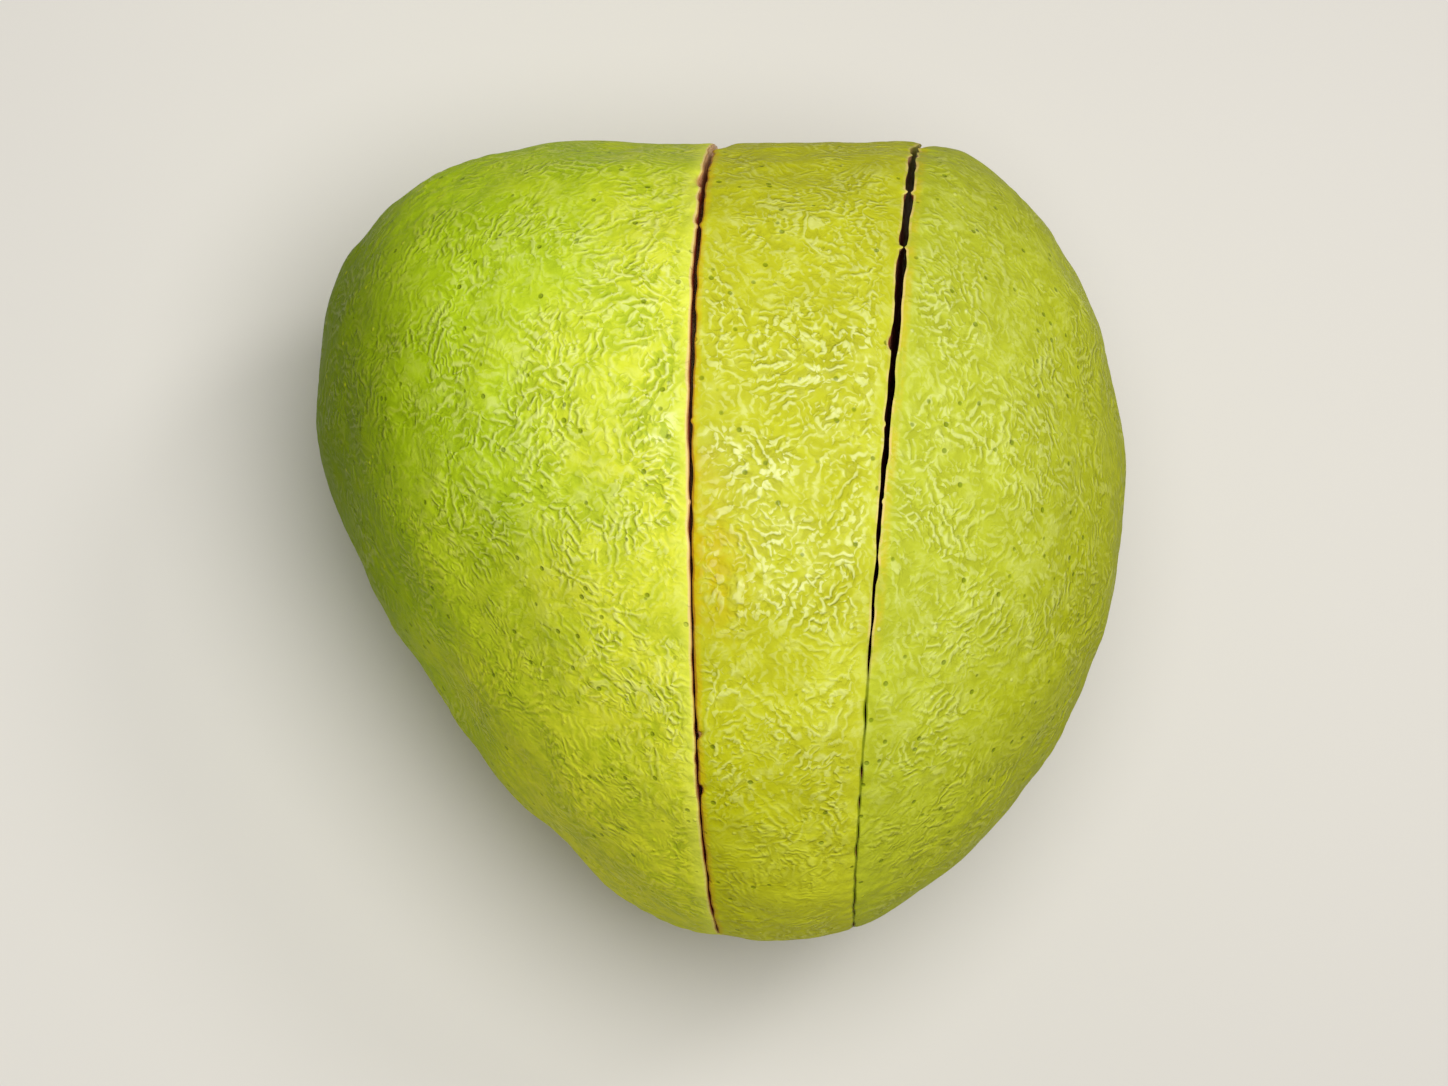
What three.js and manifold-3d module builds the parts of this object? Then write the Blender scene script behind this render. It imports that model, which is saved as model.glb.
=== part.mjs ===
// A guava lying on its side, cut through twice from end to end. Its three slices still stand together.
// Millimetres. X runs across the cuts, Y from the stem end to the calyx end, and Z is up.
import * as THREE from "three";
import { mergeVertices } from "three/addons/utils/BufferGeometryUtils.js";
import Module from "manifold-3d";

const wasm = await Module();
wasm.setup();

// The whole fruit, measured from its middle. The radii are those of its outline seen from above, every
// 20 degrees anticlockwise from the right.
const outlineRadii = [
  39.5, 41.6, 44.7, 46.2, 41.6, 41.3, 46.2, 49.6, 45.5, 39.1, 34.5, 33.9, 35.6, 39.7, 42.1, 40.5, 38.9, 38.7,
];
const topHeight = 39;
const bottomDepth = 37.3;
const restDepth = 35.7; // the flat spot it lies on, below the middle
const taper = 0.06; // the share by which it is lower at the stem end and higher at the calyx end
const bottomShift = 7; // how far the underside bulges to the right
const topFullness = 2.1; // 2 is a plain ellipse, and more is squarer
const bottomFullness = 2.5;
const facesPerEdge = 21; // of the twenty-sided start

// The lumps of its skin: slow waves in all directions
const lumps = { waves: 18, height: 0.06, longest: 21, shortest: 9.5 };

// Where the flower and the stalk were: directions from the middle
const calyxEnd = new THREE.Vector3(0.26, 0.96, -0.06).normalize();
const stemEnd = new THREE.Vector3(0.12, -0.98, -0.16).normalize();
const calyxBasin = { radius: 8.7, depth: 2.4 }; // radius where it is a third as deep
const stemDimple = { radius: 5.5, depth: 1.7 };
const crown = { innerRadius: 3.2, outerRadius: 5.2, height: 1.8, root: 2, sides: 25 };
const sepals = { count: 5, length: 4, width: 4.6, thick: 1.2, splay: 55, root: 1.4 };
const stemScar = { radius: 2.3, height: 1, root: 2.2, sides: 12 };

// The knife's cuts. At the height of the fruit's middle each blade passes `at` on the X axis. It is turned
// from the Y axis by `yaw`, towards +X at the far end, and leans to the left by `lean`, in degrees.
const cuts = [
  { at: -1, yaw: 2.1, lean: 13.3 },
  { at: 15.8, yaw: 5.9, lean: 11.2 },
];
const kerf = 0.3;
const bladeSize = 160;
const weldDistance = 1e-4;

// How far each slice has since swung open at the far end, in degrees, about an upright line at its near end
const hingeLine = new THREE.Vector3(6, -40, 0);
const slices = [
  { name: "left_slice", swing: 0, colour: 0x9dbb2a },
  { name: "middle_slice", swing: 0.3, colour: 0xbfc336 },
  { name: "right_slice", swing: 1.2, colour: 0xb2c22f },
];

// The outline's radius at an angle in radians: a smooth closed curve through the radii
function outlineRadius(angle) {
  const count = outlineRadii.length;
  const place = ((angle / (2 * Math.PI)) * count + count) % count;
  const start = Math.floor(place);
  const t = place - start;
  const [before, from, to, after] = [-1, 0, 1, 2].map((step) => outlineRadii[(start + step + count) % count]);
  const bend = 2 * before - 5 * from + 4 * to - after;
  const twist = 3 * from - before - 3 * to + after;
  return from + 0.5 * t * (to - before + t * (bend + t * twist));
}

// Height of the lumps at a point: waves of even strength whose directions go round a golden spiral
function lumpHeight(point) {
  const goldenTurn = Math.PI * (3 - Math.sqrt(5));
  let height = 0;
  for (let i = 0; i < lumps.waves; i++) {
    const share = (i + 0.5) / lumps.waves;
    const z = 1 - 2 * share;
    const across = Math.sqrt(1 - z * z);
    const along =
      point.x * across * Math.cos(goldenTurn * i) + point.y * across * Math.sin(goldenTurn * i) + point.z * z;
    const length = lumps.longest + (lumps.shortest - lumps.longest) * ((i * 7) % lumps.waves) / lumps.waves;
    height += lumps.height * Math.sin((2 * Math.PI * along) / length + 2.4 * i);
  }
  return height;
}

// The skin's distance from the middle in a direction, before lumps
function skinRadius(direction) {
  const level = Math.hypot(direction.x, direction.y);
  const up = direction.z > 0;
  const reach = (up ? topHeight : bottomDepth) * (1 + taper * direction.y);
  const fullness = up ? topFullness : bottomFullness;
  const flat = level / outlineRadius(Math.atan2(direction.y, direction.x));
  return (flat ** fullness + (Math.abs(direction.z) / reach) ** fullness) ** (-1 / fullness);
}

// A soft round hollow about one end of the fruit
function hollowDepth(point, end, hollow) {
  const centre = end.clone().multiplyScalar(skinRadius(end));
  return hollow.depth * Math.exp(-((point.distanceTo(centre) / hollow.radius) ** 2));
}

function skinPoint(direction) {
  const point = direction.clone().multiplyScalar(skinRadius(direction));
  if (point.z < 0) point.x += bottomShift * (point.z / bottomDepth) ** 2;
  const sunk = hollowDepth(point, calyxEnd, calyxBasin) + hollowDepth(point, stemEnd, stemDimple);
  return point.addScaledVector(direction, lumpHeight(point) - sunk);
}

// Geometry to solid and back
function toSolid(geometry) {
  const bare = new THREE.BufferGeometry().setAttribute("position", geometry.getAttribute("position").clone());
  if (geometry.index) bare.setIndex(geometry.index.clone());
  const merged = mergeVertices(bare, weldDistance);
  return new wasm.Manifold(
    new wasm.Mesh({
      numProp: 3,
      vertProperties: merged.attributes.position.array,
      triVerts: new Uint32Array(merged.index.array),
    }),
  );
}

function toGeometry(solid) {
  const mesh = solid.getMesh();
  return new THREE.BufferGeometry()
    .setAttribute("position", new THREE.BufferAttribute(mesh.vertProperties, 3))
    .setIndex(new THREE.BufferAttribute(mesh.triVerts, 1));
}

// The bare fruit: a ball of triangles whose points are moved out to the skin
function fruitBody() {
  const ball = new THREE.IcosahedronGeometry(1, facesPerEdge - 1);
  const points = ball.getAttribute("position");
  for (let i = 0; i < points.count; i++) {
    const point = skinPoint(new THREE.Vector3().fromBufferAttribute(points, i).normalize());
    points.setXYZ(i, point.x, point.y, point.z);
  }
  return toSolid(ball);
}

// The way the skin faces round one end: square to two lines across it
function facing(end) {
  const reach = 0.15;
  const across = (way) => {
    const [from, to] = [-reach, reach].map((step) => end.clone().addScaledVector(way, step).normalize());
    return skinPoint(to).sub(skinPoint(from));
  };
  const level = new THREE.Vector3(-end.y, end.x, 0).normalize();
  const steep = end.clone().cross(level);
  return across(level).cross(across(steep)).normalize();
}

// Places a shape made along +Z at one end of the fruit, standing on its skin
function atEnd(geometry, end) {
  const turn = new THREE.Quaternion().setFromUnitVectors(new THREE.Vector3(0, 0, 1), facing(end));
  const foot = skinPoint(end);
  return toSolid(geometry.applyQuaternion(turn).translate(foot.x, foot.y, foot.z));
}

// The dry ring that the flower left
function crownRing() {
  const { innerRadius, outerRadius, height, root, sides } = crown;
  const section = [
    [innerRadius, -root],
    [outerRadius, -root],
    [outerRadius, height * 0.3],
    [(innerRadius + 2 * outerRadius) / 3, height],
    [(2 * innerRadius + outerRadius) / 3, height * 0.9],
    [innerRadius, -height * 0.2],
    [innerRadius, -root],
  ];
  const points = section.map(([radius, z]) => new THREE.Vector2(radius, z));
  return new THREE.LatheGeometry(points, sides).rotateX(Math.PI / 2);
}

// One dry sepal: a blunt flap that leans outwards from the ring. Every other one is a little shorter.
function sepal(index) {
  const { width, thick, splay, root } = sepals;
  const length = sepals.length * (index % 2 ? 0.8 : 1);
  const flap = new THREE.Shape()
    .moveTo(-width / 2, -root)
    .lineTo(width / 2, -root)
    .lineTo(width / 2, length * 0.3)
    .lineTo(width * 0.3, length * 0.75)
    .lineTo(width * 0.04, length)
    .lineTo(-width * 0.28, length * 0.82)
    .lineTo(-width / 2, length * 0.3);
  return new THREE.ExtrudeGeometry(flap, { depth: thick, bevelEnabled: false })
    .translate(0, 0, -thick / 2)
    .rotateX(Math.PI / 2 - THREE.MathUtils.degToRad(splay))
    .translate(0, (crown.innerRadius + crown.outerRadius) / 2, 0)
    .rotateZ((2 * Math.PI * (index + 0.2)) / sepals.count);
}

function stemPlug() {
  const { radius, height, root, sides } = stemScar;
  return new THREE.CylinderGeometry(radius * 0.85, radius, height + root, sides)
    .rotateX(Math.PI / 2)
    .translate(0, 0, (height - root) / 2);
}

// A flat blade as thick as the kerf, standing where one cut goes
function blade(cut) {
  const { degToRad } = THREE.MathUtils;
  return toSolid(
    new THREE.BoxGeometry(kerf, bladeSize, bladeSize)
      .rotateY(-degToRad(cut.lean))
      .rotateZ(-degToRad(cut.yaw))
      .translate(cut.at, 0, 0),
  );
}

function wholeFruit() {
  let fruit = fruitBody().add(atEnd(crownRing(), calyxEnd));
  for (let i = 0; i < sepals.count; i++) fruit = fruit.add(atEnd(sepal(i), calyxEnd));
  fruit = fruit.add(atEnd(stemPlug(), stemEnd));
  const below = new THREE.BoxGeometry(bladeSize, bladeSize, bladeSize);
  return fruit.subtract(toSolid(below.translate(0, 0, -restDepth - bladeSize / 2)));
}

function middleX(solid) {
  const { min, max } = solid.boundingBox();
  return min[0] + max[0];
}

const cutFruit = cuts.reduce((fruit, cut) => fruit.subtract(blade(cut)), wholeFruit());
const pieces = cutFruit.decompose().sort((a, b) => middleX(a) - middleX(b));

const guava = new THREE.Group();
slices.forEach(({ name, swing, colour }, i) => {
  const material = new THREE.MeshStandardMaterial({ color: colour, roughness: 0.4, metalness: 0 });
  const slice = new THREE.Mesh(toGeometry(pieces[i]), material);
  slice.name = name;
  slice.position.copy(hingeLine).negate();
  const swung = new THREE.Group();
  swung.position.copy(hingeLine);
  swung.rotation.z = -THREE.MathUtils.degToRad(swing);
  swung.add(slice);
  guava.add(swung);
});

// The origin is on the flat spot's level, under the middle of the fruit's box
const box = new THREE.Box3().setFromObject(guava, true);
const middle = box.getCenter(new THREE.Vector3());
guava.position.set(-middle.x, -middle.y, -box.min.z);

export default guava;
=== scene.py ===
# A guava lying on its side, sliced through twice, with its slices still standing together
import math
import random
import bpy
import bmesh
import numpy as np
from mathutils import Matrix, Vector


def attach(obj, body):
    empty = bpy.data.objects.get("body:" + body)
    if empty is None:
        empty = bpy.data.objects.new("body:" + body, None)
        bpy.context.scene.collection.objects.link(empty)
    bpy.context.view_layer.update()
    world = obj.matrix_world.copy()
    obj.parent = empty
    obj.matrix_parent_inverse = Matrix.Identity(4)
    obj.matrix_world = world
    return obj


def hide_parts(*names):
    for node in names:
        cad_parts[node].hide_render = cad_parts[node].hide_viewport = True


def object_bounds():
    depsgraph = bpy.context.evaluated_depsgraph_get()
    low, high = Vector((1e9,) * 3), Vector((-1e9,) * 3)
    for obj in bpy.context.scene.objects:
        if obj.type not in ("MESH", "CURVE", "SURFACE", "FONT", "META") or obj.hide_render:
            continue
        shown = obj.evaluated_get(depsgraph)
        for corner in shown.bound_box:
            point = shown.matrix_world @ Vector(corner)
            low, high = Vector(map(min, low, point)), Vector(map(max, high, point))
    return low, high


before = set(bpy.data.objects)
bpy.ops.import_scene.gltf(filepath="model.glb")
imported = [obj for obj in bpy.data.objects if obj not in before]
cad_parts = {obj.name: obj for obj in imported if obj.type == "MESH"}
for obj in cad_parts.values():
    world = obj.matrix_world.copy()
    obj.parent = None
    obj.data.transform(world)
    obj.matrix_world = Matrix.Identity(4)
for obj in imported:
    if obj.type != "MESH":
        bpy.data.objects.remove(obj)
cadLow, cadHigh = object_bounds()
mm = 0.001

# Lengths are in millimetres from the fruit's middle until a piece is finished, and angles in degrees
fruit = {
    # Radii of its outline seen from above, every 20 degrees anticlockwise from the right
    "outline": [39.5, 41.6, 44.7, 46.2, 41.6, 41.3, 46.2, 49.6, 45.5,
                39.1, 34.5, 33.9, 35.6, 39.7, 42.1, 40.5, 38.9, 38.7],
    "top": 39,
    "bottom": 37.3,
    "rest": 35.7,            # depth of the flat spot
    "taper": 0.06,           # the share by which it is lower at the stem end and higher at the calyx end
    "bottomShift": 7,        # how far the underside bulges to the right
    "topFullness": 2.1,      # 2 is an ellipse, and more is squarer
    "bottomFullness": 2.5,
    "subdivisions": 8,
}
lumps = {"waves": 18, "height": 0.06, "longest": 21, "shortest": 9.5}
ends = {                     # directions from the middle, and the hollow about each end
    "calyx": Vector((0.26, 0.96, -0.06)).normalized(),
    "stem": Vector((0.12, -0.98, -0.16)).normalized(),
    "calyxRadius": 8.7,
    "calyxDepth": 2.4,
    "stemRadius": 5.5,
    "stemDepth": 1.7,
}
knife = {
    "cuts": [{"at": -1, "yaw": 2.1, "lean": 13.3}, {"at": 15.8, "yaw": 5.9, "lean": 11.2}],
    "kerf": 0.3,
    "hinge": (6, -40),       # the upright line that the slices have swung about
    "swings": [0, 0.3, 1.2],
}


# The fruit's form

def outlineRadius(angle):
    radii = np.array(fruit["outline"], float)
    place = (angle / (2 * np.pi) * len(radii)) % len(radii)
    start = np.floor(place).astype(int)
    t = place - start
    before, here, there, after = [radii[(start + step) % len(radii)] for step in (-1, 0, 1, 2)]
    bend = 2 * before - 5 * here + 4 * there - after
    twist = 3 * here - before - 3 * there + after
    return here + 0.5 * t * (there - before + t * (bend + t * twist))


def skinRadius(ways):
    level = np.hypot(ways[:, 0], ways[:, 1])
    up = ways[:, 2] > 0
    reach = np.where(up, fruit["top"], fruit["bottom"]) * (1 + fruit["taper"] * ways[:, 1])
    fullness = np.where(up, fruit["topFullness"], fruit["bottomFullness"])
    flat = level / outlineRadius(np.arctan2(ways[:, 1], ways[:, 0]))
    return (flat ** fullness + (np.abs(ways[:, 2]) / reach) ** fullness) ** (-1 / fullness)


# How far points lie along a way, added up in one order so that each run gives the same digits
def reachAlong(points, way):
    return points[:, 0] * way[0] + points[:, 1] * way[1] + points[:, 2] * way[2]


def lumpHeight(points):
    goldenTurn = math.pi * (3 - math.sqrt(5))
    height = np.zeros(len(points))
    waves = lumps["waves"]
    for i in range(waves):
        z = 1 - 2 * (i + 0.5) / waves
        across = math.sqrt(1 - z * z)
        way = (across * math.cos(goldenTurn * i), across * math.sin(goldenTurn * i), z)
        length = lumps["longest"] + (lumps["shortest"] - lumps["longest"]) * ((i * 7) % waves) / waves
        height += lumps["height"] * np.sin(2 * np.pi * reachAlong(points, way) / length + 2.4 * i)
    return height


def hollow(points, end, radius, depth):
    centre = np.array(end) * skinRadius(np.array([end]))[0]
    return depth * np.exp(-(np.linalg.norm(points - centre, axis=1) / radius) ** 2)


def skinPoints(ways):
    points = ways * skinRadius(ways)[:, None]
    below = points[:, 2] < 0
    points[below, 0] += fruit["bottomShift"] * (points[below, 2] / fruit["bottom"]) ** 2
    sunk = hollow(points, ends["calyx"], ends["calyxRadius"], ends["calyxDepth"])
    sunk += hollow(points, ends["stem"], ends["stemRadius"], ends["stemDepth"])
    return points + ways * (lumpHeight(points) - sunk)[:, None]


def unit(vectors):
    return vectors / np.linalg.norm(vectors, axis=-1, keepdims=True)


relief = {
    "seed": 4,
    "wrinkleLength": 1.7,    # the worm-like wrinkles that the mesh can hold
    "wrinkleHeight": 0.05,
    "patchLength": 13,       # they are stronger in some patches than in others
    "rippleLength": 5.5,
    "rippleHeight": 0.05,
    "waves": 60,             # in each jumble
    "fadeHeight": 3,         # there is none where the fruit lies on its flat spot
}


# An even jumble of waves of one length: its crests wander like worms
def jumble(points, length, seed):
    draw = np.random.default_rng(seed)
    ways = unit(draw.normal(size=(relief["waves"], 3)))
    phases = draw.uniform(0, 2 * np.pi, relief["waves"])
    total = np.zeros(len(points))
    for way, phase in zip(ways, phases):
        total += np.sin(2 * np.pi * reachAlong(points, way) / length + phase)
    return total / math.sqrt(relief["waves"] / 2)


def fineRelief(points):
    wrinkles = np.tanh(1.4 * jumble(points, relief["wrinkleLength"], relief["seed"]))
    patches = 0.55 + 0.45 * np.tanh(1.2 * jumble(points, relief["patchLength"], relief["seed"] + 1))
    ripples = jumble(points, relief["rippleLength"], relief["seed"] + 2)
    height = relief["wrinkleHeight"] * patches * (wrinkles - 1)
    height += relief["rippleHeight"] * (ripples - 1.2)
    return height * np.clip((points[:, 2] + fruit["rest"]) / relief["fadeHeight"], 0, 1)


def cutNormal(cut):
    lean, yaw = math.radians(cut["lean"]), math.radians(cut["yaw"])
    return np.array((math.cos(lean) * math.cos(yaw), -math.cos(lean) * math.sin(yaw), math.sin(lean)))


# Distance in front of a cut's middle plane, towards the right slice
def pastCut(points, cut):
    return reachAlong(points - np.array((cut["at"], 0, 0)), cutNormal(cut))


# Distance from the nearer face of a cut
def awayFrom(points, cut):
    return np.abs(pastCut(points, cut)) - knife["kerf"] / 2


# Slices

slicing = {
    "fineBand": 1.1,         # the mesh is finer this near to a cut
    "lipWidth": 0.45,        # the skin rounds over this far from each cut
    "lipDrop": 0.14,
    "wobble": 0.07,          # how far the cut edges wander
    "wobbleLength": 3.2,
    "wobbleSeed": 11,
    "nearEnd": -40,
    "widths": [              # of each cut between its lips on top, from its near end to its far end
        [0.12, 0.22, 0.26, 0.28, 0.34, 0.45, 0.45, 0.5, 0.6],
        [0.04, 0.04, 0.06, 0.3, 0.44, 0.62, 0.85, 0.88, 0.6],
    ],
    "widthBelow": 0.06,      # on the underside the lips all but meet,
    "closeFrom": -4,         # closing in from this height down
    "closeOver": 14,         # until this much lower
    "farEnd": 24,            # past this place along they close in from higher up,
    "closeRise": 0.9,        # by this much for each millimetre
    "tornAbove": -14,        # the edges are torn from this height up,
    "tornOver": 8,           # and in full from this much higher
    "lipBlend": 0.7,         # the reach fades over this far from the cut
    "lipDepth": 2.5,         # and over this depth under the skin,
    "biteDepth": 1.2,        # and a bite over this depth
    "rings": [0.985, 0.965, 0.935, 0.9, 0.85, 0.78, 0.69, 0.58, 0.45, 0.3, 0.15],
    "weld": 0.11,
}
# Where an edge is torn: the cut, the edge's side of it, the place along it, half the length, and how far
# the edge stands out into the cut. Where that is negative the edge is bitten away.
snags = [
    (0, 1, 41.8, 5.2, -1.3), (0, -1, 31.4, 1.2, -0.5),
    (0, 1, 36.2, 0.35, 0.22), (0, -1, 25.1, 0.4, 0.2), (0, 1, 25.1, 0.4, 0.2), (0, 1, 4.5, 0.35, 0.18),
    (0, -1, -3, 0.3, 0.12), (0, 1, -24.2, 0.4, -0.3), (0, -1, -26.8, 0.4, 0.1), (0, 1, -29, 0.5, -0.25),
    (1, -1, 41.6, 4.6, 0.95), (1, 1, 41, 3.2, -0.5), (1, 1, 37.2, 0.4, -0.35), (1, -1, 35.7, 0.4, 0.3),
    (1, 1, 29.8, 0.27, 0.32), (1, -1, 29.8, 0.27, 0.36),
    (1, -1, 22.9, 0.25, 0.4), (1, 1, 22.9, 0.25, 0.24),
    (1, -1, 12.5, 0.8, -0.2), (1, -1, 4.5, 0.35, 0.2), (1, 1, -3, 0.3, 0.15),
]


def coordinates(mesh):
    flat = np.empty(len(mesh.vertices) * 3, np.float32)
    mesh.vertices.foreach_get("co", flat)
    return flat.reshape(-1, 3).astype(float)


def setCoordinates(mesh, points):
    mesh.vertices.foreach_set("co", points.astype(np.float32).ravel())
    mesh.update()


def wholeFruit():
    bm = bmesh.new()
    bmesh.ops.create_icosphere(bm, subdivisions=fruit["subdivisions"], radius=1)
    rough = skinPoints(unit(np.array([v.co for v in bm.verts])))
    band = [np.abs(pastCut(rough, cut)) < slicing["fineBand"] for cut in knife["cuts"]]
    near = np.logical_or(*band)
    fine = [edge for edge in bm.edges if near[edge.verts[0].index] and near[edge.verts[1].index]]
    bmesh.ops.subdivide_edges(bm, edges=fine, cuts=1, use_grid_fill=True)
    bmesh.ops.triangulate(bm, faces=[face for face in bm.faces if len(face.verts) > 3])
    mesh = bpy.data.meshes.new("wholeFruit")
    bm.to_mesh(mesh)
    bm.free()
    ways = unit(coordinates(mesh))
    points = skinPoints(ways)
    points += ways * fineRelief(points)[:, None]
    for cut in knife["cuts"]:
        near = np.clip(1 - awayFrom(points, cut) / slicing["lipWidth"], 0, 1)
        points -= ways * (slicing["lipDrop"] * near ** 2)[:, None]
    points[:, 2] = np.maximum(points[:, 2], -fruit["rest"])
    setCoordinates(mesh, points)
    return mesh


# Closes a cut with rings that shrink towards the middle of the cut face
def closeCut(bm, rim):
    corners = list(dict.fromkeys(v for edge in rim for v in edge.verts))      # in one order each run
    centre = sum((v.co for v in corners), Vector()) / len(corners)
    size = 1
    for share in slicing["rings"]:
        grown = bmesh.ops.extrude_edge_only(bm, edges=rim)["geom"]
        rim = [item for item in grown if isinstance(item, bmesh.types.BMEdge)]
        inner = [item for item in grown if isinstance(item, bmesh.types.BMVert)]
        bmesh.ops.scale(bm, verts=inner, vec=(share / size,) * 3, space=Matrix.Translation(-centre))
        size = share
        for face in {f for edge in rim for f in edge.link_faces}:
            face.material_index = 1
    grown = bmesh.ops.extrude_edge_only(bm, edges=rim)["geom"]
    inner = [item for item in grown if isinstance(item, bmesh.types.BMVert)]
    for face in {f for v in inner for f in v.link_faces}:
        face.material_index = 1
    bmesh.ops.pointmerge(bm, verts=inner, merge_co=centre)


def setAttribute(mesh, name, values):
    layer = mesh.attributes.new(name, "FLOAT", "POINT")
    layer.data.foreach_set("value", values.astype(np.float32))


# Depth under the skin, in millimetres
def depthBelow(points):
    straight = points.copy()
    below = straight[:, 2] < 0
    straight[below, 0] -= fruit["bottomShift"] * (straight[below, 2] / fruit["bottom"]) ** 2
    reach = np.linalg.norm(straight, axis=1)
    return skinRadius(straight / np.maximum(reach, 0.01)[:, None]) - reach


# How far the skin's edge reaches out into a cut, and how much of it is bitten away
def lipReach(points, depth, cut, side):
    which = knife["cuts"].index(cut)
    along, height = points[:, 1], points[:, 2]
    widths = slicing["widths"][which]
    stops = np.linspace(slicing["nearEnd"], -slicing["nearEnd"], len(widths))
    opened = math.radians(knife["swings"][which + 1] - knife["swings"][which])
    gap = knife["kerf"] + (along - knife["hinge"][1]) * opened
    closeFrom = slicing["closeFrom"] + slicing["closeRise"] * np.maximum(along - slicing["farEnd"], 0)
    below = np.clip((closeFrom - height) / slicing["closeOver"], 0, 1)
    width = np.interp(along, stops, widths) * (1 - below) + slicing["widthBelow"] * below
    waver = jumble(points, slicing["wobbleLength"], slicing["wobbleSeed"] + side + 5 * which)
    reach = np.maximum(gap - width, 0) / 2
    reach += slicing["wobble"] * (1 - below) * np.clip(waver, -1.4, 1)
    bite = np.zeros(len(points))
    upper = np.clip((height - slicing["tornAbove"]) / slicing["tornOver"], 0, 1)
    for snagCut, snagSide, middle, half, out in snags:
        if (snagCut, snagSide) == (which, side):
            share = np.clip(1 - ((along - middle) / half) ** 2, 0, 1) * upper
            reach += share * max(out, 0)
            bite += share * max(-out, 0)
    fade = np.exp(-np.maximum(awayFrom(points, cut), 0) / slicing["lipBlend"])
    reach *= fade * np.exp(-depth / slicing["lipDepth"])
    bite *= fade * np.exp(-depth / slicing["biteDepth"])
    return reach, bite


# The cuts that bound a slice, each with the side of it that the slice is on
def cutsBeside(index):
    beside = []
    if index > 0:
        beside.append((knife["cuts"][index - 1], 1))
    if index < len(knife["cuts"]):
        beside.append((knife["cuts"][index], -1))
    return beside


def cutOut(whole, beside, name):
    bm = bmesh.new()
    bm.from_mesh(whole)
    for cut, side in beside:
        normal = Vector(cutNormal(cut))
        onPlane = Vector((cut["at"], 0, 0)) + normal * side * knife["kerf"] / 2
        everything = bm.verts[:] + bm.edges[:] + bm.faces[:]
        bmesh.ops.bisect_plane(bm, geom=everything, plane_co=onPlane, plane_no=normal * -side,
                               clear_outer=True)
    rimCorners = [v for v in bm.verts if v.is_boundary]
    bmesh.ops.remove_doubles(bm, verts=rimCorners, dist=slicing["weld"])
    rims = [edge for edge in bm.edges if edge.is_boundary]
    for cut, side in beside:
        reach = knife["kerf"] / 2 + slicing["weld"]
        closeCut(bm, [e for e in rims if abs(pastCut(np.array([e.verts[0].co]), cut)[0]) < reach])
    bmesh.ops.triangulate(bm, faces=[f for f in bm.faces if len(f.verts) > 4])
    bmesh.ops.recalc_face_normals(bm, faces=bm.faces)
    for face in bm.faces:
        face.smooth = True
    for edge in bm.edges:
        edge.smooth = len({face.material_index for face in edge.link_faces}) == 1
    mesh = bpy.data.meshes.new(name)
    bm.to_mesh(mesh)
    bm.free()
    return mesh


def makeSlice(whole, index, name):
    beside = cutsBeside(index)
    mesh = cutOut(whole, beside, name)
    points = coordinates(mesh)
    depth = np.maximum(depthBelow(points), 0)
    setAttribute(mesh, "depth", depth)
    for cut, layer in zip(knife["cuts"], ("firstCut", "secondCut")):
        setAttribute(mesh, layer, awayFrom(points, cut))
    torn = np.zeros(len(points))
    ways = unit(points)
    for cut, side in beside:
        reach, bite = lipReach(points, depth, cut, side)
        points -= cutNormal(cut) * side * (reach - bite)[:, None] + ways * bite[:, None]
        torn += bite
    setAttribute(mesh, "torn", torn)
    points[:, 2] = np.maximum(points[:, 2], -fruit["rest"])
    setCoordinates(mesh, swing(points, index))
    piece = bpy.data.objects.new(name, mesh)
    bpy.context.scene.collection.objects.link(piece)
    return piece


# Swings a slice open at the far end
def swing(points, index):
    angle = -math.radians(knife["swings"][index])
    hinge = knife["hinge"]
    across, along = points[:, 0] - hinge[0], points[:, 1] - hinge[1]
    moved = points.copy()
    moved[:, 0] = math.cos(angle) * across - math.sin(angle) * along + hinge[0]
    moved[:, 1] = math.sin(angle) * across + math.cos(angle) * along + hinge[1]
    return moved


print("fruit: skin")
whole = wholeFruit()
sliceNames = ["leftSlice", "middleSlice", "rightSlice"]
slices = [makeSlice(whole, index, name) for index, name in enumerate(sliceNames)]
bpy.data.meshes.remove(whole)
for piece in slices:
    print("fruit:", piece.name, sum(len(face.vertices) - 2 for face in piece.data.polygons), "triangles")

# The fruit's middle goes where the frame's box wants it
everyPoint = np.concatenate([coordinates(piece.data) for piece in slices])
boxMiddle = (everyPoint.min(0) + everyPoint.max(0)) / 2
place = np.array((cadLow[0] + cadHigh[0], cadLow[1] + cadHigh[1], 0)) / 2 / mm - boxMiddle
place[2] = cadLow[2] / mm + fruit["rest"]


def settle(piece):
    setCoordinates(piece.data, (coordinates(piece.data) + place) * mm)


for piece in slices:
    settle(piece)


# The two ends

def skinFrame(end):
    reach = 0.15
    level = Vector((-end.y, end.x, 0)).normalized()
    steep = end.cross(level)

    def across(way):
        both = unit(np.array([end - way * reach, end + way * reach]))
        return np.subtract(*skinPoints(both)[::-1])

    facing = Vector(np.cross(across(level), across(steep))).normalized()
    foot = Vector(skinPoints(np.array([end]))[0])
    return Matrix.Translation(foot) @ facing.to_track_quat("Z", "Y").to_matrix().to_4x4()


def newMesh(name, bm):
    bmesh.ops.remove_doubles(bm, verts=bm.verts, dist=0.01)
    bmesh.ops.recalc_face_normals(bm, faces=bm.faces)
    for face in bm.faces:
        face.smooth = True
    mesh = bpy.data.meshes.new(name)
    bm.to_mesh(mesh)
    bm.free()
    piece = bpy.data.objects.new(name, mesh)
    bpy.context.scene.collection.objects.link(piece)
    return piece


def standAt(piece, end):
    piece.data.transform(skinFrame(end))
    setCoordinates(piece.data, swing(coordinates(piece.data), 1))
    settle(piece)


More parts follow.
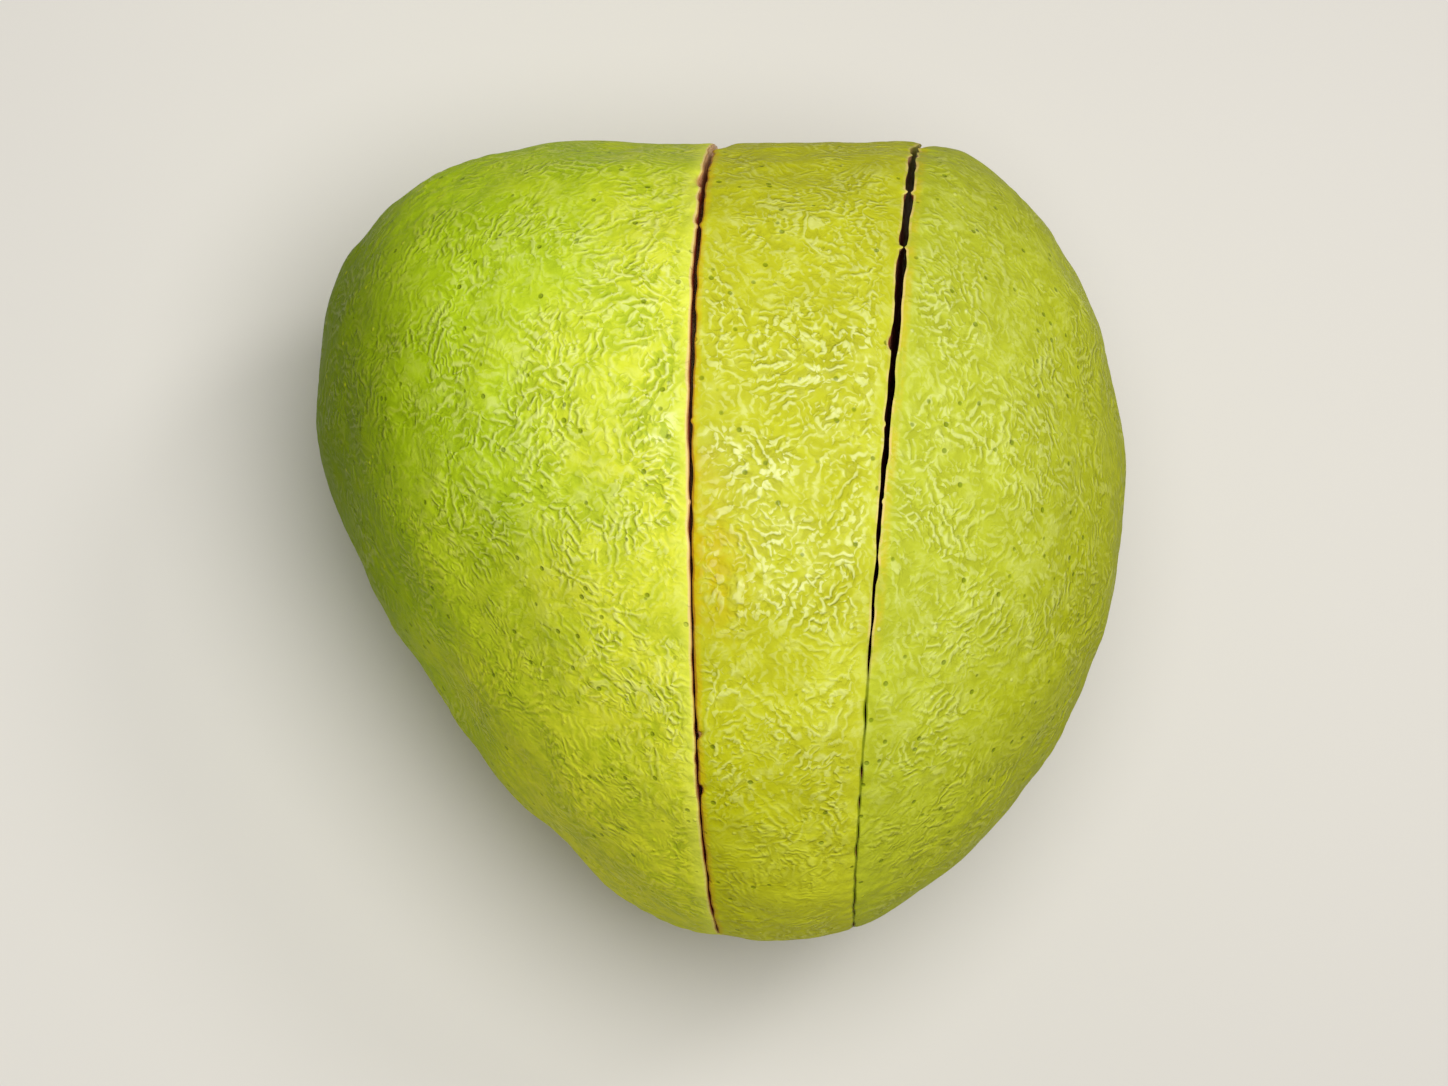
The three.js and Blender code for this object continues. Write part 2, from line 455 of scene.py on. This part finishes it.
crown = {
    "inner": 3.2,
    "outer": 5.2,
    "height": 1.8,
    "root": 1.6,             # how deep it starts under the skin
    "steps": 90,
    "sepals": 5,
    "length": 4,             # of a sepal, and every other one is a little shorter
    "width": 4.6,
    "thickness": 0.35,
    "splay": 55,
    "highest": 2.85,         # no sepal stands out further than this
    "stamens": 26,
}


# A ring spun from its section, closed on itself
def spinRing(bm, section, steps):
    corners = [bm.verts.new((radius, 0, z)) for radius, z in section]
    edges = [bm.edges.new(pair) for pair in zip(corners, corners[1:])]
    bmesh.ops.spin(bm, geom=corners + edges, cent=(0, 0, 0), axis=(0, 0, 1), angle=2 * math.pi,
                   steps=steps, use_merge=True)


def makeCrown():
    bm = bmesh.new()
    inner, outer, height, root = (crown[key] for key in ("inner", "outer", "height", "root"))
    section = [(inner, -root), (inner, 0.2), (inner + 0.15, height * 0.5), (inner + 0.4, height * 0.82),
               (inner + 0.8, height), (outer - 0.7, height * 0.96), (outer - 0.35, height * 0.8),
               (outer - 0.1, height * 0.5), (outer, 0.1), (outer, -root), (inner, -root)]
    spinRing(bm, section, crown["steps"])
    # The dry disc within it, with the stub of the style, closed underneath like the ring
    disc = [(0, -root), (inner + 0.2, -root), (inner + 0.2, 0.9), (inner * 0.85, 0.82), (inner * 0.65, 0.75),
            (inner * 0.4, 0.68), (0.62, 0.7), (0.5, 1.2), (0.4, 1.6), (0.2, 1.7), (0, 1.65)]
    spinRing(bm, disc, crown["steps"])
    points = np.array([v.co for v in bm.verts])
    rough = jumble(points, 2.1, 21) * 0.14 + jumble(points, 0.8, 22) * 0.06
    for vert, lift in zip(bm.verts, rough):
        vert.co.z += lift * min(1, max(0, vert.co.z + 0.2))
    return newMesh("calyxRing", bm)


# One dry sepal: a thin flap, broad at the ring, pointed, curled out at its tip
def makeSepal(index):
    draw = random.Random(30 + index)
    bm = bmesh.new()
    bmesh.ops.create_grid(bm, x_segments=14, y_segments=18, size=0.5)
    length = crown["length"] * (0.8 if index % 2 else 1)
    splay = math.radians(crown["splay"])
    bow = draw.uniform(0, 0.2)
    for vert in bm.verts:
        across, along = vert.co.x * 2, vert.co.y + 0.5
        half = crown["width"] / 2 * (1 - along ** 1.7) ** 0.75 + 0.12
        x = across * half * (1 + 0.08 * math.sin(along * 17 + index))
        reach = along * (length + 1.2) - 1.2
        lean = splay + bow * along
        cup = 0.5 * across ** 2 * (1 - along)
        vert.co = (x, (crown["inner"] + crown["outer"]) / 2 + reach * math.sin(lean),
                   reach * math.cos(lean) + cup + 0.1 * math.sin(across * 5 + index * 2))
    bmesh.ops.solidify(bm, geom=bm.faces[:], thickness=crown["thickness"])
    points = np.array([v.co for v in bm.verts])
    for vert, lift in zip(bm.verts, jumble(points, 1.3, 40 + index) * 0.1):
        vert.co.z = min(vert.co.z + lift, crown["highest"])
    turn = Matrix.Rotation(2 * math.pi * (index + 0.2) / crown["sepals"], 4, "Z")
    bmesh.ops.transform(bm, matrix=turn, verts=bm.verts)
    return newMesh(f"sepal{index + 1}", bm)


# Dry stamens left inside the ring
def makeStamens():
    draw = random.Random(8)
    bm = bmesh.new()
    for _ in range(crown["stamens"]):
        turn, radius = draw.uniform(0, 2 * math.pi), draw.uniform(1.3, crown["inner"] - 0.2)
        height = draw.uniform(0.9, 1.8)
        leans = [Matrix.Rotation(draw.uniform(-0.7, 0.7), 4, axis) for axis in ("X", "Y")]
        foot = Matrix.Translation((radius * math.cos(turn), radius * math.sin(turn), 0.6))
        bmesh.ops.create_cone(bm, cap_ends=True, cap_tris=True, segments=6, radius1=0.15, radius2=0.08,
                              depth=height,
                              matrix=foot @ leans[0] @ leans[1] @ Matrix.Translation((0, 0, height / 2)))
    return newMesh("stamens", bm)


scar = {"radius": 2.3, "height": 1.0, "root": 1.5, "steps": 60}


def makeStemScar():
    radius, height, root = scar["radius"], scar["height"], scar["root"]
    bm = bmesh.new()
    section = [(0, -root), (1.12, -root), (1.12, 0.25), (1.06, 0.62), (0.96, 0.9), (0.88, 1), (0.8, 0.98),
               (0.73, 0.84), (0.69, 0.66), (0.64, 0.6), (0.59, 0.7), (0.5, 0.8), (0.4, 0.76),
               (0.3, 0.66), (0.2, 0.56), (0.1, 0.5), (0, 0.5)]
    spinRing(bm, [(share * radius, z * height) for share, z in section], scar["steps"])
    points = np.array([v.co for v in bm.verts])
    rough = jumble(points, 1.3, 23) * 0.09 + jumble(points, 0.5, 24) * 0.04
    for vert, lift in zip(bm.verts, rough):
        vert.co += Vector((vert.co.x * lift * 0.5, vert.co.y * lift * 0.5, lift)) * (vert.co.z > -0.5)
    return newMesh("stemScar", bm)


print("fruit: ends")
crownPieces = [makeCrown(), makeStamens()] + [makeSepal(index) for index in range(crown["sepals"])]
for piece in crownPieces:
    standAt(piece, ends["calyx"])
stemScar = makeStemScar()
standAt(stemScar, ends["stem"])


# Materials

class Wire:  # a shader socket that takes Python's arithmetic
    def __init__(self, tree, socket=None):
        self.tree, self.socket = tree, socket

    def node(self, kind, settings=None, inputs=None, output=0):
        made = self.tree.nodes.new(kind)
        for key, value in (settings or {}).items():
            setattr(made, key, value)
        for key, value in (inputs or {}).items():
            if isinstance(value, Wire):
                self.tree.links.new(value.socket, made.inputs[key])
            else:
                made.inputs[key].default_value = value
        return Wire(self.tree, made.outputs[output])

    # Another output of the same node
    def also(self, output):
        return Wire(self.tree, self.socket.node.outputs[output])

    def axis(self, which):
        return self.node("ShaderNodeSeparateXYZ", {}, {"Vector": self}, which)

    def maths(self, operation, *values):
        return self.node("ShaderNodeMath", {"operation": operation}, dict(enumerate(values)))

    def __add__(self, other):
        return self.maths("ADD", self, other)

    def __sub__(self, other):
        return self.maths("SUBTRACT", self, other)

    def __rsub__(self, other):
        return self.maths("SUBTRACT", other, self)

    def __mul__(self, other):
        return self.maths("MULTIPLY", self, other)

    __radd__ = __add__
    __rmul__ = __mul__

    def size(self):
        return self.maths("ABSOLUTE", self)

    # 0 at low and 1 at high, eased between, whichever of them is the greater
    def rise(self, low, high):
        inputs = {"Value": self, "From Min": min(low, high), "From Max": max(low, high)}
        inputs.update({"To Min": 0.0 if low < high else 1.0, "To Max": 1.0 if low < high else 0.0})
        return self.node("ShaderNodeMapRange", {"interpolation_type": "SMOOTHSTEP"}, inputs)

    # This much of the second colour over the first
    def mix(self, first, second):
        settings = {"data_type": "RGBA"}
        return self.node("ShaderNodeMix", settings, {"Factor": self, 6: first, 7: second}, output=2)

    def vectorMaths(self, operation, *values, output=0):
        settings = {"operation": operation}
        return self.node("ShaderNodeVectorMath", settings, dict(enumerate(values)), output)

    def moved(self, offset):
        inputs = {"Vector": self, "Location": (offset, offset * 0.7, offset * 1.3)}
        return self.node("ShaderNodeMapping", {}, inputs)

    def noise(self, scale, detail=2.0, roughness=0.5, offset=0.0, output=0):
        inputs = {"Vector": self.moved(offset), "Scale": scale, "Detail": detail, "Roughness": roughness}
        return self.node("ShaderNodeTexNoise", {}, inputs, output)

    def cells(self, scale, offset=0.0, output=0):
        inputs = {"Vector": self.moved(offset), "Scale": scale}
        return self.node("ShaderNodeTexVoronoi", {}, inputs, output)

    # Pushes places about by up to half this much, in swirls of this size
    def bent(self, amount, size, offset=0.0):
        push = self.noise(1 / size, detail=0.0, offset=offset, output=1)
        push = self.vectorMaths("SUBTRACT", push, (0.5, 0.5, 0.5))
        return self.vectorMaths("ADD", self, self.vectorMaths("MULTIPLY", push, (amount,) * 3))

    # Waves from -1 to 1 that run one way within a patch and another in the next
    def hatching(self, patch, spacing, offset):
        swirled = self.bent(patch * 1.5, patch * 0.8, offset)
        way = self.vectorMaths("SUBTRACT", swirled.cells(1 / patch, offset, output=1), (0.5, 0.5, 0.5))
        along = self.vectorMaths("DOT_PRODUCT", self, self.vectorMaths("NORMALIZE", way), output=1)
        waver = self.noise(0.9 / spacing, detail=0.0, offset=offset + 7)
        return self.maths("SINE", along * (2 * math.pi / spacing) + waver * 7)


def tint(red, green, blue):
    def linear(value):
        value /= 255
        return value / 12.92 if value <= 0.04045 else ((value + 0.055) / 1.055) ** 2.4
    return (linear(red), linear(green), linear(blue), 1)


def startMaterial(name, shader):
    material = bpy.data.materials.new(name)
    material.use_nodes = True
    tree = material.node_tree
    surface = tree.nodes["Principled BSDF"]
    for key, value in shader.items():
        surface.inputs[key].default_value = value
    start = Wire(tree)
    space = start.node("ShaderNodeTexCoord", output=3)
    inMillimetres = {"Vector": space, "Scale": (1 / mm,) * 3}
    return material, surface, start, space.node("ShaderNodeMapping", {}, inMillimetres)


# This much of a colour over what is there
def paint(under, amount, colour):
    return amount.mix(under, tint(*colour))


def attribute(start, name):
    return start.node("ShaderNodeAttribute", {"attribute_name": name}, output=2)


def feed(surface, **wires):
    for key, wire in wires.items():
        wire.tree.links.new(wire.socket, surface.inputs[key])


skinLook = {
    "leftSlice": {
        "name": "leftSkin",
        "deep": (132, 158, 4),
        "fresh": (175, 204, 24),
        "ripe": (211, 215, 46),
        "turn": (-40, -6),       # across the slice, from fresh to ripe
        "wrinkled": 1,
    },
    "middleSlice": {
        "name": "middleSkin",
        "deep": (158, 158, 6),
        "fresh": (186, 190, 20),
        "ripe": (191, 196, 40),
        "turn": (4, 12),
        "wrinkled": 1,
    },
    "rightSlice": {
        "name": "rightSkin",
        "deep": (142, 148, 8),
        "fresh": (167, 174, 16),
        "ripe": (180, 190, 42),
        "turn": (44, 20),
        "wrinkled": 0.8,
    },
    "pale": (230, 236, 166),
    "sunny": (210, 214, 30),
    "shade": (78, 98, 2),
    "pore": (96, 118, 0),
    "cream": (224, 192, 132),
    "straw": (226, 234, 92),
    "gold": (198, 170, 10),
    "rust": (150, 84, 26),
    "tan": (196, 146, 88),
    # painted shade for the shut cuts and the torn flap
    "seamShade": (98, 112, 8),
    "wrinkle": 0.56,         # spacing of the finest wrinkles
    "pores": 0.55,           # cells to a millimetre, each with a pore or a dot
    "bump": 0.00028,
}


# Short wrinkles that change their way from patch to patch, and how strong they are; they are stronger on
# top, where the light falls, since their colour carries painted highlight and shade
def skinWrinkles(place, above, along, nearest, share):
    wide = place.hatching(3.2, skinLook["wrinkle"] * 1.6, 3)
    narrow = place.hatching(1.8, skinLook["wrinkle"], 47)
    wideShare = place.noise(0.5, detail=1.0, offset=33).rise(0.35, 0.55)
    narrowShare = place.noise(0.7, detail=1.0, offset=59).rise(0.32, 0.52)
    patches = place.noise(0.14, detail=2.0, offset=71).rise(0.36, 0.6)
    lit = above.rise(18, 66) * 0.42 + above.rise(68, 75) * 0.36 + 0.44
    calmer = (1 - along.rise(12, 32) * 0.25) * share
    strength = (patches * 0.6 + 0.4) * lit * calmer * (nearest.rise(0.3, 2) * 0.7 + 0.3)
    return wide * wideShare * 0.85 + narrow * narrowShare * 0.4, strength


# Dark pores, and pale dots among them
def skinSpots(place):
    spots = place.cells(skinLook["pores"])
    dark = place.node("ShaderNodeSeparateColor", {}, {"Color": spots.also(1)}).rise(0.52, 0.54)
    return spots.rise(0.18, 0.08) * dark, spots.rise(0.16, 0.06) * (1 - dark)


# The edges of the cuts: pale or rusty where they stand open, and a dark line of painted shade where they are
# shut
def paintEdges(piece, colour, cutGaps, along, blotches, mottle):
    first, later = cutGaps
    uneven = mottle * 1.2 - 0.6
    openTo = (along + uneven * 4).rise(-20, -13)
    broken = openTo * (mottle.rise(0.42, 0.58) * 0.8 + 0.2)
    if piece == "leftSlice":
        colour = paint(colour, (first - uneven).rise(1.8, 0.5) * 0.35, skinLook["straw"])
        pale = (first + uneven * 0.3).rise(0.36, 0.16) * (openTo * 0.4 + 0.4)
        colour = paint(colour, pale, skinLook["cream"])
        return paint(colour, first.rise(0.14, 0.05) * 0.7, skinLook["rust"])
    if piece == "middleSlice":
        bruise = (along + (blotches - 0.5) * 14 + 8).size().rise(10, 3)
        bruise *= (first - uneven * 4).rise(8, 0) * (mottle.rise(0.6, 0.4) * 0.55 + 0.2)
        colour = paint(colour, bruise, skinLook["gold"])
        colour = paint(colour, (first + uneven * 0.6).rise(0.75, 0.25) * 0.6, skinLook["gold"])
        colour = paint(colour, (first + uneven * 0.2).rise(0.2, 0.08) * 0.7, skinLook["rust"])
        pale = (later + uneven * 0.2).rise(0.25, 0.1) * broken * 0.55
        colour = paint(colour, pale, skinLook["cream"])
        flap = (later + uneven).rise(1.3, 0.3) * along.rise(36, 38.5)      # torn skin at the far end
        # Painted shade darkens the torn skin flap that bridges the cut at the far end
        colour = paint(colour, flap * 0.2, skinLook["seamShade"])
    else:
        colour = paint(colour, (later + uneven * 0.8).rise(1, 0.4) * broken * 0.5, skinLook["gold"])
        pale = (later + uneven * 0.2).rise(0.25, 0.1) * broken * 0.6
        colour = paint(colour, pale, skinLook["cream"])
    # Painted shade: the dark line along a cut where its edges are shut
    shut = (1 - openTo) * (later + uneven * 0.1).rise(0.17, 0.05)
    return paint(colour, shut * 0.8, skinLook["seamShade"])


def skinMaterial(piece):
    look = skinLook[piece]
    shader = {"IOR": 1.38, "Specular IOR Level": 0.02, "Coat Roughness": 0.16, "Coat IOR": 1.4}
    material, surface, start, place = startMaterial(look["name"], shader)
    across, along, above = place.axis(0), place.axis(1), place.axis(2)
    cutGaps = attribute(start, "firstCut"), attribute(start, "secondCut")
    nearest = start.maths("MINIMUM", *cutGaps)
    # Green to yellow across the slice, blotched, and deeper towards the far end
    blotches = place.noise(0.1, detail=3.0, roughness=0.55, offset=9)
    mottle = place.noise(0.5, detail=4.0, roughness=0.6, offset=21)
    turn = (across - along * 0.25 + (blotches - 0.5) * 22).rise(*look["turn"])
    colour = turn.mix(tint(*look["fresh"]), tint(*look["ripe"]))
    colour = paint(colour, blotches.rise(0.58, 0.36) * 0.2 + along.rise(22, 42) * 0.3, look["deep"])
    # Wrinkles are pale along their crests and deeper green between them: partly the skin's own colour, and
    # partly painted highlight on the crests and painted shade between them
    wrinkles, strength = skinWrinkles(place, above, along, nearest, look["wrinkled"])
    troughs = wrinkles.rise(-0.1, -0.6) * strength
    crests = wrinkles.rise(0, 0.7) * strength
    # The pale tint turns paler on top, a painted highlight where the light falls; the mottles, the crests
    # and the dots take it
    paleAndSheenTint = above.rise(50, 71).mix(tint(*skinLook["sunny"]), tint(*skinLook["pale"]))
    colour = paint(colour, mottle.rise(0.56, 0.36) * 0.3, look["deep"])
    colour = (mottle.rise(0.5, 0.7) * 0.16).mix(colour, paleAndSheenTint)
    colour = paint(colour, troughs * 0.42, look["deep"])
    colour = (crests * 0.43).mix(colour, paleAndSheenTint)
    # Painted highlight: paler on top. Painted shade: darker on the left and low down, where the light
    # doesn't reach
    colour = paint(colour, above.rise(58, 75) * 0.04, skinLook["pale"])
    shaded = across.rise(-30, -41) * 0.7 + across.rise(-17, -27) * along.rise(2, -9) * 0.14
    colour = paint(colour, shaded + above.rise(16, 0) * 0.2, skinLook["shade"])
    pores, dots = skinSpots(place)
    colour = paint(colour, pores * 0.65, skinLook["pore"])
    colour = (dots * 0.4).mix(colour, paleAndSheenTint)
    colour = paintEdges(piece, colour, cutGaps, along, blotches, mottle)
    colour = paint(colour, attribute(start, "torn").rise(0.12, 0.4) * 0.8, skinLook["tan"])
    height = wrinkles * strength * 0.4 + mottle * 0.7 - pores * 0.5 + dots * 0.3
    bumps = {"Height": height, "Strength": 0.8, "Distance": skinLook["bump"]}
    bump = height.node("ShaderNodeBump", {}, bumps)
    roughness = mottle.rise(0.3, 0.7) * 0.12 + 0.46 - crests * 0.08
    coat = crests * 0.3 + above.rise(40, 70) * 0.1
    feed(surface, **{"Base Color": colour, "Normal": bump, "Roughness": roughness, "Coat Weight": coat})
    return material


fleshLook = {
    "rim": (222, 190, 128),
    "rust": (186, 88, 54),
    "farRim": (224, 186, 134),
    "flap": (172, 180, 56),
    "cream": (246, 229, 186),
    "rose": (236, 157, 150),
    "heart": (206, 112, 100),
    "seed": (232, 205, 150),
    "grain": (150, 70, 50),
    "bump": 0.0003,
}


def fleshMaterial():
    material, surface, start, place = startMaterial("flesh", {"IOR": 1.4})
    depth = attribute(start, "depth")
    later = attribute(start, "secondCut")
    along = place.axis(1)
    level = depth + (place.noise(0.35, detail=3.0) - 0.5) * 3
    colour = depth.rise(0.1, 0.6).mix(tint(*fleshLook["rim"]), tint(*fleshLook["rust"]))
    colour = paint(colour, along.rise(28, 36) * depth.rise(2.4, 1.4), fleshLook["farRim"])
    flap = later.rise(0.6, 0.3) * along.rise(36.5, 38.5) * depth.rise(3.5, 2.5)      # skin folded in
    colour = paint(colour, flap * 0.85, fleshLook["flap"])
    colour = paint(colour, level.rise(1.5, 4.5), fleshLook["cream"])
    colour = paint(colour, level.rise(6, 12), fleshLook["rose"])
    colour = paint(colour, level.rise(13, 20), fleshLook["heart"])
    seeds = place.cells(0.22, offset=2).rise(0.3, 0.24) * level.rise(13, 15)
    colour = paint(colour, seeds, fleshLook["seed"])
    grain = place.noise(1.6, detail=3.0, offset=4)
    colour = paint(colour, grain.rise(0.6, 0.35) * 0.25, fleshLook["grain"])
    bumps = {"Height": grain + seeds * 1.5, "Strength": 0.7, "Distance": fleshLook["bump"]}
    bump = grain.node("ShaderNodeBump", {}, bumps)
    feed(surface, **{"Base Color": colour, "Normal": bump, "Roughness": grain * 0.2 + 0.3})
    return material


dryLook = {
    "calyx": {"name": "dryCalyx", "dark": (112, 84, 48), "light": (184, 156, 104), "spacing": 0.8},
    "stem": {"name": "dryStem", "dark": (112, 90, 52), "light": (176, 156, 108), "spacing": 0.6},
    "bump": 0.0003,
}


def dryMaterial(part):
    look = dryLook[part]
    material, surface, _, place = startMaterial(look["name"], {"IOR": 1.45})
    grain = place.noise(1 / look["spacing"], detail=4.0, roughness=0.65)
    spots = place.noise(0.4 / look["spacing"], detail=2.0, offset=6)
    colour = grain.rise(0.35, 0.65).mix(tint(*look["dark"]), tint(*look["light"]))
    colour = paint(colour, spots.rise(0.55, 0.35) * 0.6, [value * 0.6 for value in look["dark"]])
    bumps = {"Height": grain, "Strength": 0.8, "Distance": dryLook["bump"]}
    bump = grain.node("ShaderNodeBump", {}, bumps)
    feed(surface, **{"Base Color": colour, "Normal": bump, "Roughness": grain * 0.2 + 0.65})
    return material


print("materials")
flesh = fleshMaterial()
for piece in slices:
    piece.data.materials.append(skinMaterial(piece.name))
    piece.data.materials.append(flesh)
dryCalyx = dryMaterial("calyx")
for piece in crownPieces:
    piece.data.materials.append(dryCalyx)
stemScar.data.materials.append(dryMaterial("stem"))


# Floor, light and camera

studio = {
    "floor": (212, 209, 203),
    "floorSize": 3,
    "world": (1.0, 0.98, 0.94),
    "worldStrength": 0.24,
    "soft": {"place": (0, -0.03, 0.62), "size": 0.42, "power": 3.55, "colour": (1, 0.99, 0.97)},
    "side": {"place": (0.31, 0.22, 0.66), "size": 0.16, "power": 0.7, "colour": (1, 0.98, 0.95)},
}
view = {"from": (-0.155, -0.174, 0.9725), "distance": 0.425, "lens": 102, "aimHeight": 0.0365}


def addLight(name, facts):
    light = bpy.data.lights.new(name, "AREA")
    light.shape = "DISK"
    light.size = facts["size"]
    light.energy = facts["power"]
    light.color = facts["colour"]
    lamp = bpy.data.objects.new(name, light)
    lamp.location = facts["place"]
    lamp.rotation_euler = (Vector((0, 0, 0.03)) - lamp.location).to_track_quat("-Z", "Y").to_euler()
    bpy.context.scene.collection.objects.link(lamp)


print("studio")
bm = bmesh.new()
bmesh.ops.create_grid(bm, x_segments=1, y_segments=1, size=studio["floorSize"] / 2)
floor = newMesh("floor", bm)
floorPaint, floorSurface, _, floorPlace = startMaterial("floorPaint", {"Roughness": 0.6})
clouds = floorPlace.noise(0.004, detail=1.0)
softer = tint(*[value * 0.96 for value in studio["floor"]])
feed(floorSurface, **{"Base Color": clouds.rise(0.3, 0.7).mix(tint(*studio["floor"]), softer)})
floor.data.materials.append(floorPaint)

world = bpy.data.worlds.new("studio")
world.use_nodes = True
world.node_tree.nodes["Background"].inputs["Color"].default_value = (*studio["world"], 1)
world.node_tree.nodes["Background"].inputs["Strength"].default_value = studio["worldStrength"]
bpy.context.scene.world = world
addLight("softLight", studio["soft"])
addLight("sideLight", studio["side"])
bpy.context.scene.view_settings.view_transform = "Standard"

camera = bpy.data.objects.new("camera", bpy.data.cameras.new("camera"))
camera.data.lens = view["lens"]
back = Vector(view["from"]).normalized()
aim = Vector((0, 0, view["aimHeight"]))
rightWay = (Vector((1, 0, 0)) - back * back.x).normalized()
camera.matrix_world = Matrix.Translation(aim + back * view["distance"]) @ Matrix(
    (rightWay, back.cross(rightWay), back)).transposed().to_4x4()
bpy.context.scene.collection.objects.link(camera)
bpy.context.scene.camera = camera

# What each piece rides on and stands for
for piece, slotName, node in zip(slices, ("left_skin", "middle_skin", "right_skin"),
                                 ("left_slice", "middle_slice", "right_slice")):
    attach(piece, "root")
    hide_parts(node)
for piece in crownPieces + [stemScar]:
    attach(piece, "root")
    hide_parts("middle_slice")
